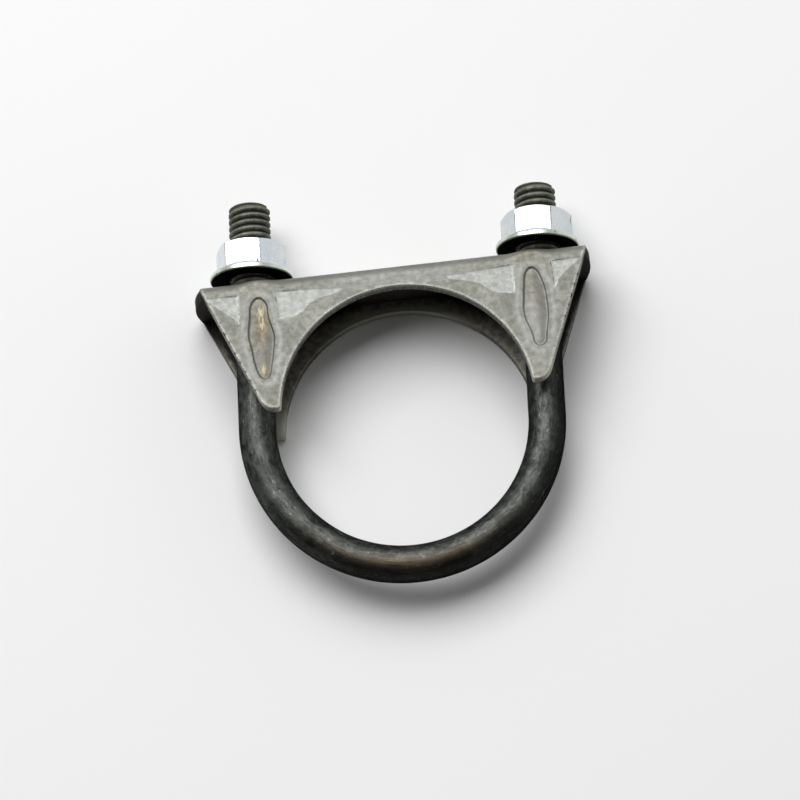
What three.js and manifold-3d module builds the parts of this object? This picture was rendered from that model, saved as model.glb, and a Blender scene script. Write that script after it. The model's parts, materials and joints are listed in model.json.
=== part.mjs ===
// U-bolt pipe clamp for a 57 mm pipe: a bent round bar with rolled threads, a pressed steel
// saddle that slides on its two legs, and two hexagon flange nuts.
// Millimetres. The clamp lies flat: +Z is the pipe's axis, +Y points along the legs to the nuts.
// Shapes are made around the pipe's axis, and the last lines set the group down on z = 0.
import * as THREE from "three";
import { mergeVertices } from "three/addons/utils/BufferGeometryUtils.js";
import Module from "manifold-3d";

// U-bolt
const BAR_RADIUS = 4.25; // the thread's pitch radius, as on a bar with rolled threads
const LEG_X = 32.75; // half the distance between the two leg axes
const BEND_DEPTH = 33.6; // from the pipe's axis down to the bar's axis at the bottom of the bend
const LEG_TIP_Y = { left: 54.25, right: 55.2 };
const THREAD_LENGTH = 31.75;
const THREAD_PITCH = 1.5875; // 3/8-16 UNC
const THREAD_MAJOR_RADIUS = 4.7625;
const THREAD_ROOT_RADIUS = 3.8;
const TIP_CHAMFER = 1.1;
const RUN_OUT = 2.4; // over this length the thread sinks into the bar

// Saddle, in its own frame: the arch's centre is the origin, +Y goes up to the crown
const SADDLE_WIDTH = 19.3; // outer face to outer face, along the pipe
const SHEET = 2.6;
const CROWN_HEIGHT = 34.2; // from the arch's centre to the crown's outer face
const CROWN_HALF_LENGTH = 44.8; // in the middle of its bowed ends
const CROWN_CORNER = { x: 44.1, z: 6.6 }; // where a bowed end meets the bend
const WALL_HALF_LENGTH = 43.35; // at the crease below the bend
const BEND_RADIUS = 3.05; // outside of the fold
const ARCH_RADIUS = 28.55;
const TIP_HEIGHT = { front: 2.65, back: 1.45 }; // how far the wall's tips stay above the arch's centre
const SHOULDER = { x: 33.15, y: 5.45 }; // where a tip's round end meets the slanted edge
const HOLE_RADIUS = 5.55;
const HOLE_X = 32.8;
const BAND_X = 31.15; // centre of the squared-up fold and of the dent beside each leg
const BAND_FOLDS = [[9.0, 2.5], [7.1, 1.8], [5.2, 1.15]]; // width along the crown, outside radius
const DENT = { y: 20.05, halfWidth: 3.0, halfLength: 9.75, depth: 0.45 };

// Nuts
const ACROSS_FLATS = 14.29; // 9/16 in
const NUT_HEIGHT = 8.3;
const FLANGE_RADIUS = 9.5;
const FLANGE_LIP = 1.3;
const FLANGE_RISE = 2.4; // height at which the flange's cone reaches the nut's axis side
const NUT_CHAMFER_RADIUS = 6.95; // round top face inside the hexagon
const BORE_RADIUS = 4.9;
const COUNTERSINK = 0.55;

// How the clamp is put together at rest
const SADDLE_OFFSET = { x: 1.72, y: 0.9 };
const SADDLE_SKEW = THREE.MathUtils.degToRad(3.4); // the left nut is run further down
const NUT_GAP = 3.05; // from the crown to a nut's bearing face
const NUT_TURN = { left: THREE.MathUtils.degToRad(-12.5), right: THREE.MathUtils.degToRad(-5.5) };

const ROUND_SEGMENTS = 18;
const OVERCUT = 2;
const SIDES = { left: -1, right: 1 };

const wasm = await Module();
wasm.setup();

function solidOf(geometry) {
  geometry.deleteAttribute("normal");
  geometry.deleteAttribute("uv");
  const merged = mergeVertices(geometry, 1e-4);
  return new wasm.Manifold(new wasm.Mesh({
    numProp: 3,
    vertProperties: new Float32Array(merged.attributes.position.array),
    triVerts: new Uint32Array(merged.index.array),
  }));
}

function geometryOf(solid) {
  const mesh = solid.getMesh();
  const geometry = new THREE.BufferGeometry();
  geometry.setAttribute("position", new THREE.BufferAttribute(mesh.vertProperties, 3));
  geometry.setIndex(new THREE.BufferAttribute(mesh.triVerts, 1));
  geometry.computeVertexNormals();
  return geometry;
}

function turned(profile, segments) {
  const points = profile.map(([radius, y]) => new THREE.Vector2(radius, y));
  return solidOf(new THREE.LatheGeometry(points, segments));
}

// ---- U-bolt -------------------------------------------------------------------------------

class HalfEllipseBend extends THREE.Curve {
  getPoint(t, target = new THREE.Vector3()) {
    const angle = Math.PI * (1 + t);
    return target.set(LEG_X * Math.cos(angle), BEND_DEPTH * Math.sin(angle), 0);
  }
}

function bentBar() {
  const threadStart = { left: LEG_TIP_Y.left - THREAD_LENGTH, right: LEG_TIP_Y.right - THREAD_LENGTH };
  const path = new THREE.CurvePath();
  path.add(new THREE.LineCurve3(
    new THREE.Vector3(-LEG_X, threadStart.left, 0),
    new THREE.Vector3(-LEG_X, 0, 0),
  ));
  path.add(new HalfEllipseBend());
  path.add(new THREE.LineCurve3(
    new THREE.Vector3(LEG_X, 0, 0),
    new THREE.Vector3(LEG_X, threadStart.right, 0),
  ));
  const section = new THREE.Shape();
  section.absarc(0, 0, BAR_RADIUS, 0, 2 * Math.PI);
  return solidOf(new THREE.ExtrudeGeometry(section, {
    steps: 64,
    curveSegments: ROUND_SEGMENTS / 2,
    extrudePath: path,
  }));
}

// A right-hand helical rod along +Y from y = 0: three rows of points a turn, one in the root
// and two along the crest. Each row climbs one pitch in a turn and meets the row three above it.
function helicalRod(length) {
  const rowsPerTurn = 3;
  const rowRise = [0, 0.44 * THREAD_PITCH, 0.56 * THREAD_PITCH];
  const rowRadius = [THREAD_ROOT_RADIUS, THREAD_MAJOR_RADIUS, THREAD_MAJOR_RADIUS];
  const rows = rowsPerTurn * Math.ceil(length / THREAD_PITCH);
  const positions = [];
  for (let row = 0; row <= rows + rowsPerTurn; row += 1) {
    const kind = row % rowsPerTurn;
    const base = Math.floor(row / rowsPerTurn) * THREAD_PITCH + rowRise[kind];
    for (let i = 0; i < ROUND_SEGMENTS; i += 1) {
      const turn = i / ROUND_SEGMENTS;
      const angle = 2 * Math.PI * turn;
      positions.push(
        rowRadius[kind] * Math.sin(angle),
        base + turn * THREAD_PITCH,
        rowRadius[kind] * Math.cos(angle),
      );
    }
  }
  const at = (i, row) => (i < ROUND_SEGMENTS
    ? row * ROUND_SEGMENTS + i
    : (row + rowsPerTurn) * ROUND_SEGMENTS);
  const index = [];
  for (let row = 0; row < rows; row += 1) {
    for (let i = 0; i < ROUND_SEGMENTS; i += 1) {
      index.push(at(i, row), at(i + 1, row), at(i + 1, row + 1));
      index.push(at(i, row), at(i + 1, row + 1), at(i, row + 1));
    }
  }
  const rim = (row) => {
    const loop = [];
    for (let i = 0; i <= ROUND_SEGMENTS; i += 1) {
      loop.push(at(i, row));
    }
    for (let k = rowsPerTurn - 1; k > 0; k -= 1) {
      loop.push(at(0, row + k));
    }
    return loop;
  };
  const addCap = (row, y, facesUp) => {
    const centre = positions.length / 3;
    positions.push(0, y, 0);
    const loop = rim(row);
    loop.forEach((vertex, k) => {
      const next = loop[(k + 1) % loop.length];
      index.push(centre, facesUp ? vertex : next, facesUp ? next : vertex);
    });
  };
  addCap(0, 0, false);
  addCap(rows, positions[3 * at(0, rows) + 1] + THREAD_PITCH, true);
  const geometry = new THREE.BufferGeometry();
  geometry.setAttribute("position", new THREE.Float32BufferAttribute(positions, 3));
  geometry.setIndex(index);
  return solidOf(geometry);
}

function threadedEnd(side) {
  const tip = LEG_TIP_Y[side];
  const start = tip - THREAD_LENGTH;
  const clear = THREAD_MAJOR_RADIUS + 0.2;
  const envelope = turned([
    [0, start - 0.4],
    [BAR_RADIUS - 0.1, start - 0.4],
    [clear, start + RUN_OUT],
    [clear, tip - TIP_CHAMFER],
    [clear - TIP_CHAMFER, tip],
    [0, tip],
  ], ROUND_SEGMENTS);
  const runOut = turned([
    [0, start - 0.4],
    [BAR_RADIUS - 0.02, start - 0.4],
    [BAR_RADIUS - 0.02, start],
    [THREAD_ROOT_RADIUS, start + RUN_OUT],
    [0, start + RUN_OUT],
  ], ROUND_SEGMENTS);
  const rod = helicalRod(THREAD_LENGTH + 2 * THREAD_PITCH).translate([0, start - 1.5 * THREAD_PITCH, 0]);
  return rod.intersect(envelope).add(runOut).translate([SIDES[side] * LEG_X, 0, 0]);
}

function uBolt() {
  return geometryOf(bentBar().add(threadedEnd("left")).add(threadedEnd("right")));
}

// ---- Saddle -------------------------------------------------------------------------------

// A block along X whose two upper edges are rounded: the channel seen from its end
function foldedBlock(halfWidth, top, radius, length) {
  const section = new THREE.Shape();
  section.moveTo(-halfWidth, -OVERCUT);
  section.lineTo(-halfWidth, top - radius);
  section.absarc(-halfWidth + radius, top - radius, radius, Math.PI, Math.PI / 2, true);
  section.absarc(halfWidth - radius, top - radius, radius, Math.PI / 2, 0, true);
  section.lineTo(halfWidth, -OVERCUT);
  section.closePath();
  const geometry = new THREE.ExtrudeGeometry(section, {
    depth: length,
    bevelEnabled: false,
    curveSegments: 4,
  });
  geometry.translate(0, 0, -length / 2);
  geometry.rotateY(Math.PI / 2);
  return solidOf(geometry);
}

// The wall seen along the pipe: arch, two round-tipped legs, slanted ends and crown
function wallOutline(tipHeight) {
  const archStart = Math.asin(tipHeight / ARCH_RADIUS);
  const tipX = ARCH_RADIUS * Math.cos(archStart);
  const crease = CROWN_HEIGHT - BEND_RADIUS;
  const over = CROWN_HEIGHT + OVERCUT;
  const outline = new THREE.Shape();
  outline.absarc(0, 0, ARCH_RADIUS, Math.PI - archStart, archStart, true);
  outline.lineTo(tipX + 1.2, tipHeight);
  outline.quadraticCurveTo(SHOULDER.x - 1.1, tipHeight, SHOULDER.x, SHOULDER.y);
  outline.lineTo(WALL_HALF_LENGTH, crease);
  outline.lineTo(CROWN_CORNER.x, CROWN_HEIGHT);
  outline.lineTo(CROWN_HALF_LENGTH, CROWN_HEIGHT);
  outline.lineTo(CROWN_HALF_LENGTH, over);
  outline.lineTo(-CROWN_HALF_LENGTH, over);
  outline.lineTo(-CROWN_HALF_LENGTH, CROWN_HEIGHT);
  outline.lineTo(-CROWN_CORNER.x, CROWN_HEIGHT);
  outline.lineTo(-WALL_HALF_LENGTH, crease);
  outline.lineTo(-SHOULDER.x, SHOULDER.y);
  outline.quadraticCurveTo(-SHOULDER.x + 1.1, tipHeight, -tipX - 1.2, tipHeight);
  outline.closePath();
  return outline;
}

// One half of the saddle's bulk, in front of the mid-plane or behind it. The halves overlap
// inside the channel, which is cut away later.
function wallBlock(tipHeight, side) {
  const depth = SADDLE_WIDTH / 2 + 2 * OVERCUT;
  const outline = wallOutline(tipHeight);
  const geometry = new THREE.ExtrudeGeometry(outline, { depth, bevelEnabled: false, curveSegments: 20 });
  geometry.translate(0, 0, side > 0 ? -OVERCUT : OVERCUT - depth);
  return solidOf(geometry);
}

// The crown seen from above, with its bowed ends, as a block deep enough for the whole saddle
function crownPlan() {
  const { x, z } = CROWN_CORNER;
  const edge = SADDLE_WIDTH / 2 + OVERCUT;
  const bow = 2 * CROWN_HALF_LENGTH - x;
  const plan = new THREE.Shape();
  plan.moveTo(x, -edge);
  plan.lineTo(x, -z);
  plan.quadraticCurveTo(bow, 0, x, z);
  plan.lineTo(x, edge);
  plan.lineTo(-x, edge);
  plan.lineTo(-x, z);
  plan.quadraticCurveTo(-bow, 0, -x, -z);
  plan.lineTo(-x, -edge);
  plan.closePath();
  const depth = CROWN_HEIGHT + 2 * OVERCUT;
  const geometry = new THREE.ExtrudeGeometry(plan, { depth, bevelEnabled: false, curveSegments: 8 });
  geometry.rotateX(Math.PI / 2);
  geometry.translate(0, CROWN_HEIGHT + OVERCUT, 0);
  return solidOf(geometry);
}

function boltHole(x) {
  const geometry = new THREE.CylinderGeometry(HOLE_RADIUS, HOLE_RADIUS, 3 * SHEET, 24);
  geometry.translate(x, CROWN_HEIGHT - SHEET / 2, 0);
  return solidOf(geometry);
}

function dent(x, z) {
  const geometry = new THREE.OctahedronGeometry(1);
  geometry.scale(DENT.halfWidth, DENT.halfLength, DENT.depth);
  geometry.translate(x, DENT.y, z);
  return solidOf(geometry);
}

function saddle() {
  const halfWidth = SADDLE_WIDTH / 2;
  let body = foldedBlock(halfWidth, CROWN_HEIGHT, BEND_RADIUS, 2 * CROWN_HALF_LENGTH);
  for (const side of [-1, 1]) {
    for (const [width, radius] of BAND_FOLDS) {
      const band = foldedBlock(halfWidth, CROWN_HEIGHT, radius, width);
      body = body.add(band.translate([side * BAND_X, 0, 0]));
    }
  }
  const cavityLength = 2 * (CROWN_HALF_LENGTH + OVERCUT);
  const cavity = foldedBlock(halfWidth - SHEET, CROWN_HEIGHT - SHEET, BEND_RADIUS - SHEET, cavityLength);
  body = body.subtract(cavity.translate([0, -OVERCUT, 0]).add(cavity));
  const walls = wallBlock(TIP_HEIGHT.front, 1).add(wallBlock(TIP_HEIGHT.back, -1));
  body = body.intersect(walls).intersect(crownPlan());
  for (const side of [-1, 1]) {
    body = body.subtract(boltHole(side * HOLE_X));
    body = body.subtract(dent(side * BAND_X, halfWidth));
    body = body.subtract(dent(side * BAND_X, -halfWidth));
  }
  return geometryOf(body);
}

// ---- Nuts ---------------------------------------------------------------------------------

// The bearing face is at y = 0 and one flat of the hexagon faces +Z
function flangeNut() {
  const corner = ACROSS_FLATS / Math.sqrt(3);
  const hexagon = new THREE.CylinderGeometry(corner, corner, NUT_HEIGHT - FLANGE_LIP, 6);
  hexagon.rotateY(Math.PI / 6);
  hexagon.translate(0, (NUT_HEIGHT + FLANGE_LIP) / 2, 0);
  const chamferDrop = (corner + 0.3 - NUT_CHAMFER_RADIUS) * Math.tan(Math.PI / 6);
  const chamfer = turned([
    [0, 0],
    [corner + 0.3, 0],
    [corner + 0.3, NUT_HEIGHT - chamferDrop],
    [NUT_CHAMFER_RADIUS, NUT_HEIGHT],
    [0, NUT_HEIGHT],
  ], 36);
  const flange = turned([
    [0, 0],
    [FLANGE_RADIUS - 0.25, 0],
    [FLANGE_RADIUS, 0.25],
    [FLANGE_RADIUS, FLANGE_LIP - 0.25],
    [FLANGE_RADIUS - 0.35, FLANGE_LIP],
    [ACROSS_FLATS / 2 - 0.2, FLANGE_RISE],
    [0, FLANGE_RISE],
  ], 36);
  const bore = turned([
    [0, -OVERCUT],
    [BORE_RADIUS + COUNTERSINK, -OVERCUT],
    [BORE_RADIUS + COUNTERSINK, 0],
    [BORE_RADIUS, COUNTERSINK],
    [BORE_RADIUS, NUT_HEIGHT - COUNTERSINK],
    [BORE_RADIUS + COUNTERSINK, NUT_HEIGHT],
    [BORE_RADIUS + COUNTERSINK, NUT_HEIGHT + OVERCUT],
    [0, NUT_HEIGHT + OVERCUT],
  ], 24);
  return geometryOf(solidOf(hexagon).intersect(chamfer).add(flange).subtract(bore));
}

// Height of the crown's outer face where it crosses a leg's axis
function crownAtLeg(x) {
  const across = x - SADDLE_OFFSET.x;
  return SADDLE_OFFSET.y + (CROWN_HEIGHT + across * Math.sin(SADDLE_SKEW)) / Math.cos(SADDLE_SKEW);
}

// ---- Assembly -----------------------------------------------------------------------------

const DARK_STEEL = { color: 0x2e2f2c, roughness: 0.42, metalness: 0.9 };
const MILL_STEEL = { color: 0x9c9b92, roughness: 0.48, metalness: 0.85 };
const ZINC_PLATE = { color: 0xdde4e6, roughness: 0.28, metalness: 0.95 };

function named(name, geometry, finish) {
  const mesh = new THREE.Mesh(geometry, new THREE.MeshStandardMaterial(finish));
  mesh.name = name;
  return mesh;
}

const clamp = new THREE.Group();
clamp.add(named("u_bolt", uBolt(), DARK_STEEL));

const saddleMesh = named("saddle", saddle(), MILL_STEEL);
saddleMesh.position.set(SADDLE_OFFSET.x, SADDLE_OFFSET.y, 0);
saddleMesh.rotation.z = SADDLE_SKEW;
clamp.add(saddleMesh);

for (const [side, sign] of Object.entries(SIDES)) {
  const nut = named(`${side}_nut`, flangeNut(), ZINC_PLATE);
  nut.position.set(sign * LEG_X, crownAtLeg(sign * LEG_X) + NUT_GAP, 0);
  nut.rotation.y = NUT_TURN[side];
  clamp.add(nut);
}

const box = new THREE.Box3().setFromObject(clamp, true);
const middle = box.getCenter(new THREE.Vector3());
clamp.position.set(-middle.x, -middle.y, -box.min.z);

export default clamp;
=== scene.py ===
"""Looks of a U-bolt pipe clamp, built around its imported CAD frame. Blender 4.5.

Shapes are worked out in millimetres in the clamp's own frame: the pipe's axis is the origin, +X points
right, +Y up the legs to the nuts and +Z along the pipe. piece() moves them to the frame in metres.
"""
import json
import math

import bpy
import numpy as np
from mathutils import Matrix, Vector, noise
from mathutils.geometry import delaunay_2d_cdt


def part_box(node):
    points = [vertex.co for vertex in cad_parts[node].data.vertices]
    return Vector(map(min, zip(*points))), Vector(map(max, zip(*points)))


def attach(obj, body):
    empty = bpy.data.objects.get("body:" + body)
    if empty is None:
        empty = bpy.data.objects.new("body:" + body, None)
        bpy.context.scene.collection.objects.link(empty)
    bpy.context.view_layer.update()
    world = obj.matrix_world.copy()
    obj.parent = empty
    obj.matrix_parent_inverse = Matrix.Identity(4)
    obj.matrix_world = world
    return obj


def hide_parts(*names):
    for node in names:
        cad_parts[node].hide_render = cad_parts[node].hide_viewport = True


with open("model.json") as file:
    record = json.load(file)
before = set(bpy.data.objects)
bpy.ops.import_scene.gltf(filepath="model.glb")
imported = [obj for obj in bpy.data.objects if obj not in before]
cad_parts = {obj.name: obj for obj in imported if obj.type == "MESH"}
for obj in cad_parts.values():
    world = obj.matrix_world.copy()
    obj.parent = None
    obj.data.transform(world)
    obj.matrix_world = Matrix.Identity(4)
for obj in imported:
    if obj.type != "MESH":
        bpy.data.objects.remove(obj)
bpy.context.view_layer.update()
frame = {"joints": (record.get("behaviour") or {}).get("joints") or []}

MM = 0.001
TURN = 2 * math.pi

# U-bolt, as in the CAD
BAR_RADIUS = 4.25
LEG_X = 32.75
BEND_DEPTH = 33.6
TIP_Y = {"left": 54.25, "right": 55.2}
THREAD_LENGTH = 31.75
PITCH = 1.5875
CREST_RADIUS = 4.7625
ROOT_RADIUS = 3.95
TIP_RADIUS = 3.6  # of the flat at each tip
TIP_ROUNDING = 1.4  # length of the rounding behind it
RUN_OUT = 2.4  # over this length the thread sinks into the bar

# Saddle, in its own frame with the arch's centre as the origin
HALF_WIDTH = 9.65  # of the channel, from one wall's outer face to its middle
SHEET = 2.6
CROWN_HEIGHT = 34.2
FOLD_RADIUS = 3.05
TIGHT_FOLD_RADIUS = 1.15
INNER_FOLD_RADIUS = 0.45
ARCH_RADIUS = 28.55
TIP_HEIGHT = {1: 2.65, -1: 1.45}  # front and back wall
SHOULDER = (33.15, 5.45)  # where a tip's round end meets the slanted edge
WALL_HALF_LENGTH = 43.35
CROWN_HALF_LENGTH = 44.8  # in the middle of its bowed ends
CROWN_CORNER_X = 44.1
LONGER_LEFT = 0.9  # the crown's left end and the rear wall there run this much further out
HOLE_X = 32.8
HOLE_RADIUS = 5.55
BAND_X = 31.15  # middle of the squeezed band beside each bolt
SADDLE_OFFSET = (1.72, 0.9)
SADDLE_SKEW = math.radians(3.4)

# Nuts
ACROSS_FLATS = 14.29
NUT_HEIGHT = 8.3
FLANGE_RADIUS = 9.5
FLANGE_LIP = 1.3
NUT_CHAMFER_RADIUS = 6.95
CONE_TOP = 2.5  # the flange's height just inside the hexagon's flats
LIP_WIDTH = 0.35
EDGE_RADIUS = 0.42  # of the hexagon's six upright edges
BORE_RADIUS = 4.9
BORE_CHAMFER = 0.55
NUT_TURN = {"left": math.radians(-12.5), "right": math.radians(-5.5)}

joints = {j["name"]: j for j in frame["joints"]}
leg_axes = [Vector(joints[f"{side}_nut_turn"]["pos_m"]) for side in ("left", "right")]
CLAMP_ORIGIN = Vector((
    (leg_axes[0].x + leg_axes[1].x) / 2,
    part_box("u_bolt")[1][1] - TIP_Y["right"] * MM,
    leg_axes[0].z,
))


# ---- Small tools ----

def smoothstep(low, high, x):
    t = np.clip((x - low) / (high - low), 0, 1)
    return t * t * (3 - 2 * t)


def bump(x):
    """1 at x = 0, falling smoothly to 0 at x = 1 and -1."""
    return 1 - smoothstep(0, 1, np.abs(x))


def blob(x, y, centre, size):
    """A soft spot of height 1: a Gaussian of the given half-sizes."""
    return np.exp(-((x - centre[0]) / size[0]) ** 2 - ((y - centre[1]) / size[1]) ** 2)


def fractal(points, wavelength, octaves, seed=0.0):
    """Fractal noise of about -1 to 1 at each point."""
    shift = Vector((seed, 2.7 * seed, -seed))
    values = [noise.fractal(Vector(p) / wavelength + shift, 0.9, 2.0, octaves) for p in points]
    return np.array(values)


def linked(name, data):
    """A new object in the scene."""
    obj = bpy.data.objects.new(name, data)
    bpy.context.scene.collection.objects.link(obj)
    return obj


def piece(name, points, faces, body, node, attributes, crease_deg):
    """A mesh piece from clamp-frame millimetres that stands for one CAD node."""
    mesh = bpy.data.meshes.new(name)
    placed = np.asarray(points) * MM + np.array(CLAMP_ORIGIN)
    mesh.from_pydata(placed.tolist(), [], faces)
    for key, values in attributes.items():
        values = np.asarray(values, dtype=np.float32)
        kind = "FLOAT" if values.ndim == 1 else "FLOAT_VECTOR"
        layer = mesh.attributes.new(key, kind, "POINT")
        layer.data.foreach_set("value" if values.ndim == 1 else "vector", values.ravel())
    mesh.validate()
    mesh.shade_smooth()
    mesh.set_sharp_from_angle(angle=math.radians(crease_deg))
    obj = linked(name, mesh)
    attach(obj, body)
    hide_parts(node)
    return obj


def signed_distance(x, y, loop):
    """Distance from each point to a closed outline, negative inside it."""
    start = np.asarray(loop, dtype=float)
    end = np.roll(start, -1, axis=0)
    nearest = np.full(np.shape(x), np.inf)
    inside = np.zeros(np.shape(x), dtype=bool)
    for (x0, y0), (x1, y1) in zip(start, end):
        dx, dy = x1 - x0, y1 - y0
        t = np.clip(((x - x0) * dx + (y - y0) * dy) / (dx * dx + dy * dy), 0, 1)
        nearest = np.minimum(nearest, np.hypot(x - x0 - t * dx, y - y0 - t * dy))
        crosses = (y0 > y) != (y1 > y)
        slope = dx / dy if dy else 0.0
        inside ^= crosses & (x < x0 + (y - y0) * slope)
    return np.where(inside, -nearest, nearest)


def resampled(loop, spacing):
    """The closed outline again, with points at an even spacing and its corners kept."""
    out = []
    for (x0, y0), (x1, y1) in zip(loop, loop[1:] + loop[:1]):
        steps = max(1, round(math.hypot(x1 - x0, y1 - y0) / spacing))
        out += [(x0 + (x1 - x0) * k / steps, y0 + (y1 - y0) * k / steps) for k in range(steps)]
    return out


def arc(centre, radius, start_deg, end_deg, steps):
    """Points along a circular arc, both ends included."""
    angles = np.radians(np.linspace(start_deg, end_deg, steps + 1))
    return [(centre[0] + radius * math.cos(a), centre[1] + radius * math.sin(a)) for a in angles]


def curve(a, control, b, steps):
    """Points of a quadratic curve, without its first one."""
    out = []
    for k in range(1, steps + 1):
        t = k / steps
        first, middle, last = (1 - t) ** 2, 2 * t * (1 - t), t * t
        out.append(tuple(first * p + middle * c + last * q for p, c, q in zip(a, control, b)))
    return out


# ---- U-bolt ----

AROUND = 72  # points in a turn
ROWS_PER_TURN = 16
THREAD_TURNS = 22  # at each end the mesh is wound with the thread's pitch
RAMP_TURNS = 2  # and here it goes over to a coarser one
BAR_TURNS = 11
CAP_TURNS = 1
CAP_SHARE = 0.94  # the tip's flat is closed after this share of its turn
TIP_DIMPLE = 0.35


class BoltPath:
    """The bar's axis from the left tip, round the bend, to the right tip, by distance in mm."""

    def __init__(self):
        t = np.linspace(0, math.pi, 2001)
        x, y = -LEG_X * np.cos(t), -BEND_DEPTH * np.sin(t)
        self.arc_t = t
        self.arc_s = np.concatenate([[0], np.cumsum(np.hypot(np.diff(x), np.diff(y)))])
        self.bend = self.arc_s[-1]
        self.length = TIP_Y["left"] + self.bend + TIP_Y["right"]

    def at(self, s):
        """Position and direction in the clamp's plane for an array of distances."""
        on_bend = s - TIP_Y["left"]
        t = np.interp(on_bend, self.arc_s, self.arc_t)
        x, y = -LEG_X * np.cos(t), -BEND_DEPTH * np.sin(t)
        dx, dy = LEG_X * np.sin(t), -BEND_DEPTH * np.cos(t)
        before, after = on_bend < 0, on_bend > self.bend
        y = np.where(before, -on_bend, np.where(after, on_bend - self.bend, y))
        x = np.where(before, -LEG_X, np.where(after, LEG_X, x))
        size = np.hypot(dx, dy)
        dx = np.where(before | after, 0.0, dx / size)
        dy = np.where(before, -1.0, np.where(after, 1.0, dy / size))
        return x, y, dx, dy


def thread_radius(turns):
    """Radius of the thread's profile at a fraction of a pitch from a crest."""
    d = np.abs((turns + 0.5) % 1.0 - 0.5)
    flank = np.clip((d - 0.13) / 0.31, 0, 1)
    soft = 0.6 * (3 * flank ** 2 - 2 * flank ** 3) + 0.4 * flank
    return CREST_RADIUS + (ROOT_RADIUS - CREST_RADIUS) * soft


def climb(turns, length):
    """Distance along the bar after a number of turns: one pitch a turn on the threads, and as
    much as the length leaves on the bar between them, with a smooth change where they meet."""
    bar_step = (length - 2 * THREAD_TURNS * PITCH - RAMP_TURNS * PITCH) / (RAMP_TURNS + BAR_TURNS)
    total = 2 * (THREAD_TURNS + RAMP_TURNS) + BAR_TURNS
    mirrored = turns > total / 2
    u = np.where(mirrored, total - turns, turns)
    on_ramp = np.clip(u - THREAD_TURNS, 0, RAMP_TURNS)
    on_bar = np.clip(u - THREAD_TURNS - RAMP_TURNS, 0, None)
    s = PITCH * np.minimum(u, THREAD_TURNS)
    s = s + PITCH * on_ramp + (bar_step - PITCH) * on_ramp ** 2 / (2 * RAMP_TURNS) + bar_step * on_bar
    return np.where(mirrored, length - s, s)


def u_bolt():
    """One closed skin wound as a spiral, so that the thread's crest and root are unbroken rows."""
    path = BoltPath()
    total = 2 * (THREAD_TURNS + RAMP_TURNS) + BAR_TURNS
    first = -CAP_TURNS * ROWS_PER_TURN - ROWS_PER_TURN
    last = (total + CAP_TURNS) * ROWS_PER_TURN
    rows = np.arange(first, last + ROWS_PER_TURN + 1)
    row, i = np.meshgrid(rows, np.arange(AROUND), indexing="ij")
    turns = row / ROWS_PER_TURN + i / AROUND
    phi = TURN * i / AROUND
    free = climb(turns, path.length)
    s = np.clip(free, 0, path.length)
    beyond = np.maximum(-free, free - path.length)
    from_tip = np.minimum(s, path.length - s)

    threaded = np.clip((THREAD_LENGTH - from_tip) / RUN_OUT, 0, 1)
    radius = BAR_RADIUS + threaded * (thread_radius(row / ROWS_PER_TURN) - BAR_RADIUS)
    rounding = np.sqrt(1 - (1 - np.clip(from_tip / TIP_ROUNDING, 0, 1)) ** 2)
    radius = np.minimum(radius, TIP_RADIUS + (CREST_RADIUS + 0.1 - TIP_RADIUS) * rounding)
    capped = np.clip(beyond / (CAP_SHARE * CAP_TURNS * PITCH), 0, 1)
    radius = np.where(beyond > 0, TIP_RADIUS * (1 - capped), radius)
    dimple = TIP_DIMPLE * smoothstep(0.25, 1, capped)

    x, y, dx, dy = path.at(s)
    across_x, across_y = dy, -dx
    outward = np.where(free < 0, 1.0, -1.0)
    x, y = x + outward * dimple * dx, y + outward * dimple * dy
    probe = np.stack([x + BAR_RADIUS * np.sin(phi) * across_x,
                      y + BAR_RADIUS * np.sin(phi) * across_y,
                      BAR_RADIUS * np.cos(phi)], axis=-1).reshape(-1, 3)
    waves = fractal(probe, 9.0, 2).reshape(radius.shape)
    pits = fractal(probe, 1.6, 2, seed=5.0).reshape(radius.shape)
    plain = 1 - threaded
    relief = 0.035 * waves * (0.35 + 0.65 * plain) - 0.05 * plain * smoothstep(0.35, 0.8, pits)
    nicks = 0.09 * threaded * smoothstep(0.45, 0.9, pits)
    radius = radius + np.where(beyond > 0, 0, relief - nicks)
    points = np.stack([x + radius * np.sin(phi) * across_x,
                       y + radius * np.sin(phi) * across_y,
                       radius * np.cos(phi)], axis=-1).reshape(-1, 3)
    points[:, 2] = np.clip(points[:, 2], -HALF_WIDTH, HALF_WIDTH)

    count = len(rows)
    vertex = np.arange(count * AROUND).reshape(count, AROUND)
    wrapped = np.concatenate([vertex[:-ROWS_PER_TURN], vertex[ROWS_PER_TURN:, :1]], axis=1)
    a, b = wrapped[:-1, :-1], wrapped[:-1, 1:]
    c, d = wrapped[1:, 1:], wrapped[1:, :-1]
    faces = np.stack([a, d, c, b], axis=-1).reshape(-1, 4)
    lay_radius = np.where(beyond > 0, radius, BAR_RADIUS)
    lay = np.stack([s, lay_radius * np.sin(phi), lay_radius * np.cos(phi)], axis=-1).reshape(-1, 3)
    thread_depth = np.where(beyond > 0, 0, threaded * (CREST_RADIUS - radius)).ravel()
    worn = np.where(beyond > 0, 0.6, 0.6 * smoothstep(1.6, 0.9, from_tip)).ravel()
    # Painted shade: the bar's outer, lower side, away from the light, is darkened in its colour.
    outer_side_shade = smoothstep(0.1, 0.8, np.sin(phi)) * smoothstep(-0.95, -0.2, across_x) * plain
    brown = blob(s - path.length / 2, BAR_RADIUS * np.sin(phi), (0, 1.3), (17, 1.5)) * (np.cos(phi) > 0)

    points, faces, keep = welded(points, faces, 0.002)
    attributes = {
        "lay": lay[keep],
        "depth": thread_depth[keep],
        "tip": worn[keep],
        "threaded": threaded.ravel()[keep],
        "brown": brown.ravel()[keep],
        "outer_side_shade": outer_side_shade.ravel()[keep],
    }
    obj = piece("u_bolt_bar", points, faces, "bolt_body", "u_bolt", attributes, 60)
    obj.data.materials.append(dark_steel())
    return obj


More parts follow.
